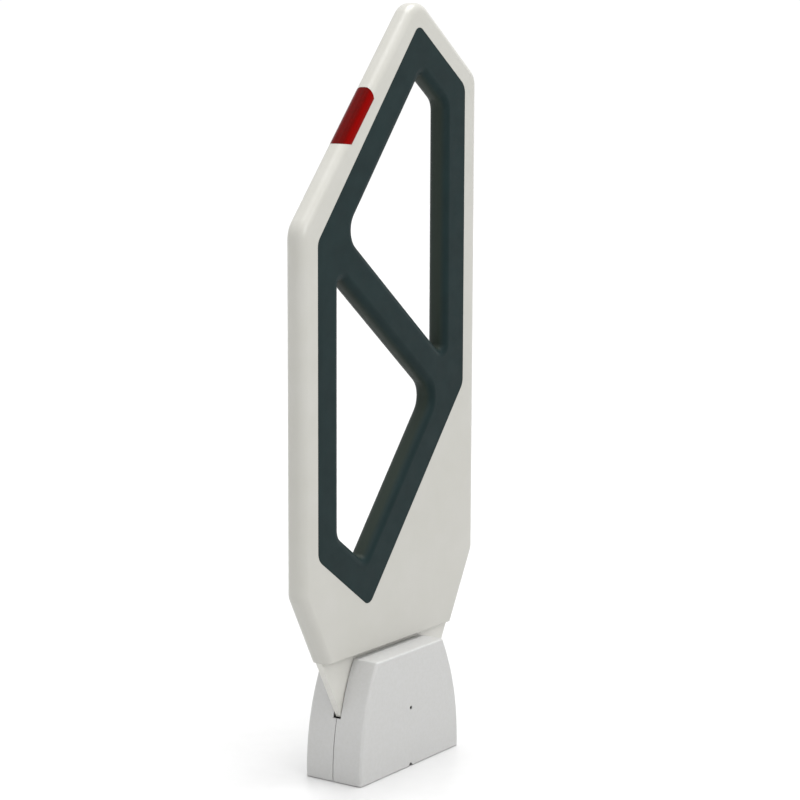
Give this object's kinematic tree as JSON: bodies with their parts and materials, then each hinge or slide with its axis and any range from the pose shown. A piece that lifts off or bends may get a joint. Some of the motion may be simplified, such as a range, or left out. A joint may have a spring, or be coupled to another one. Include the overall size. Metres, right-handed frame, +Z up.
{
  "type": "security gate",
  "caption": "Retail anti-theft detection pedestal: a tall flat white panel with a dark frame round two angular windows, a red lamp on its sloped edge, on a low split-cover base.",
  "frame": {"origin": "centre of the base where its rubber pads rest on the floor", "axes": "+Z up, X along the panel's broad face with the lamp towards -X, -Y is the front"},
  "size_m": [0.62, 0.14, 1.5781],
  "materials": {
    "white_shell": "gloss moulded",
    "white_neck": "white powder coat",
    "dark_insert": "satin moulded",
    "red_lens": "clear red moulded",
    "white_cover": "fine-textured moulded",
    "dowel_nylon": "turned nylon",
    "loop_tape": "taped winding",
    "clip_plastic": "moulded",
    "cable_jacket": "extruded jacket",
    "board_laminate": "solder mask",
    "led_resin": "clear resin",
    "component_black": "moulded packages",
    "zinc_steel": "zinc plated",
    "brass_post": "turned",
    "coated_steel": "grey powder coat",
    "sink_aluminium": "extruded",
    "transformer_wrap": "taped toroid",
    "pad_rubber": "moulded"
  },
  "bodies": {
    "root": {"panel_shell_front": "white_shell", "panel_shell_rear": "white_shell", "neck_tongue": "white_neck", "band_insert_front": "dark_insert", "band_insert_rear": "dark_insert", "lamp_lens": "red_lens", "shell_dowels": "dowel_nylon", "insert_dowels": "dowel_nylon", "upper_antenna_loop": "loop_tape", "lower_antenna_loop": "loop_tape", "loop_clips": "clip_plastic", "loop_bridge": "clip_plastic", "loop_junction_box": "clip_plastic", "terminal_block": "clip_plastic", "fuse_holder": "clip_plastic", "alarm_buzzer": "clip_plastic", "loop_tail": "cable_jacket", "antenna_lead": "cable_jacket", "lamp_lead": "cable_jacket", "lamp_board": "board_laminate", "control_board": "board_laminate", "lamp_leds": "led_resin", "board_components": "component_black", "tongue_screws": "zinc_steel", "clamp_bolts": "zinc_steel", "clamp_nuts": "zinc_steel", "bracket_foot_screws": "zinc_steel", "board_screws": "zinc_steel", "transformer_bolt": "zinc_steel", "earth_nut": "zinc_steel", "screw_post_front": "zinc_steel", "screw_post_rear": "zinc_steel", "board_standoffs": "brass_post", "earth_stud": "brass_post", "clamp_bracket_front": "coated_steel", "clamp_bracket_rear": "coated_steel", "floor_plate": "coated_steel", "heat_sink": "sink_aluminium", "power_transformer": "transformer_wrap", "foot_pads": "pad_rubber", "cable_grommet": "pad_rubber"},
    "front_cover": {"base_cover_front": "white_cover", "cover_screw_front": "zinc_steel"},
    "rear_cover": {"base_cover_rear": "white_cover", "cover_screw_rear": "zinc_steel"}
  },
  "joints": [
    {"name": "front_cover_pull", "type": "slide", "parent": "root", "child": "front_cover", "axis": [0, -1, 0], "range_m": [0, 0.12]},
    {"name": "rear_cover_pull", "type": "slide", "parent": "root", "child": "rear_cover", "axis": [0, 1, 0], "range_m": [0, 0.12]}
  ]
}
